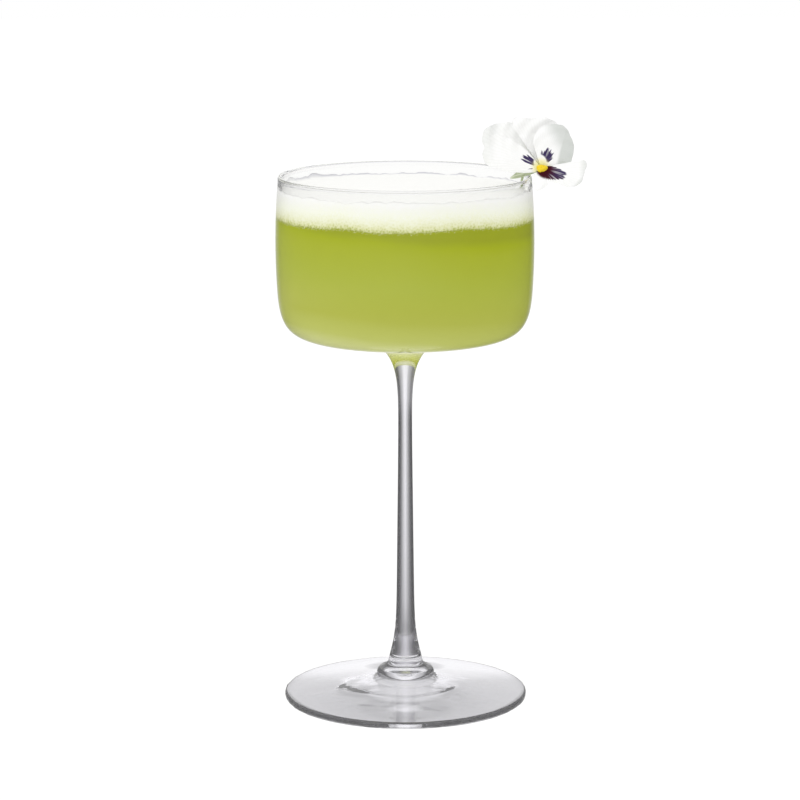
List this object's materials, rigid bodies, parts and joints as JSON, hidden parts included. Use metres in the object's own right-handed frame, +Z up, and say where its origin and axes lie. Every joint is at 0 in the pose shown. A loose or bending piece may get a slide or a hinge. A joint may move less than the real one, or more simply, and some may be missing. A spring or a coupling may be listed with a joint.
{
  "type": "martini glass",
  "caption": "Stemmed cocktail glass with a square-shouldered bowl, full of a cloudy drink under a foam head, with a viola laid over its rim.",
  "frame": {"origin": "where the glass's axis meets the table it stands on", "axes": "+Z up along the stem, +X towards the viola on the rim, -Y towards the viola's face"},
  "size_m": [0.0979, 0.082, 0.188],
  "materials": {
    "clear_glass": "polished",
    "cloudy_green_drink": "gloss",
    "white_foam": "matte",
    "white_petal": "satin",
    "yellow_eye": "matte",
    "leaf_green": "satin"
  },
  "bodies": {
    "glass": {"foot": "clear_glass", "stem": "clear_glass", "bowl": "clear_glass", "drink": "cloudy_green_drink", "foam_head": "white_foam"},
    "garnish": {"petal_upper_left": "white_petal", "petal_upper_top": "white_petal", "petal_side_left": "white_petal", "petal_side_right": "white_petal", "petal_lip": "white_petal", "flower_eye": "yellow_eye", "receptacle": "leaf_green", "sepal_1": "leaf_green", "sepal_2": "leaf_green", "sepal_3": "leaf_green", "sepal_4": "leaf_green", "sepal_5": "leaf_green", "stalk": "leaf_green"}
  },
  "joints": [
    {"name": "garnish_lift", "type": "slide", "parent": "glass", "child": "garnish", "axis": [0, 0, 1], "range_m": [0, 0.06]}
  ]
}
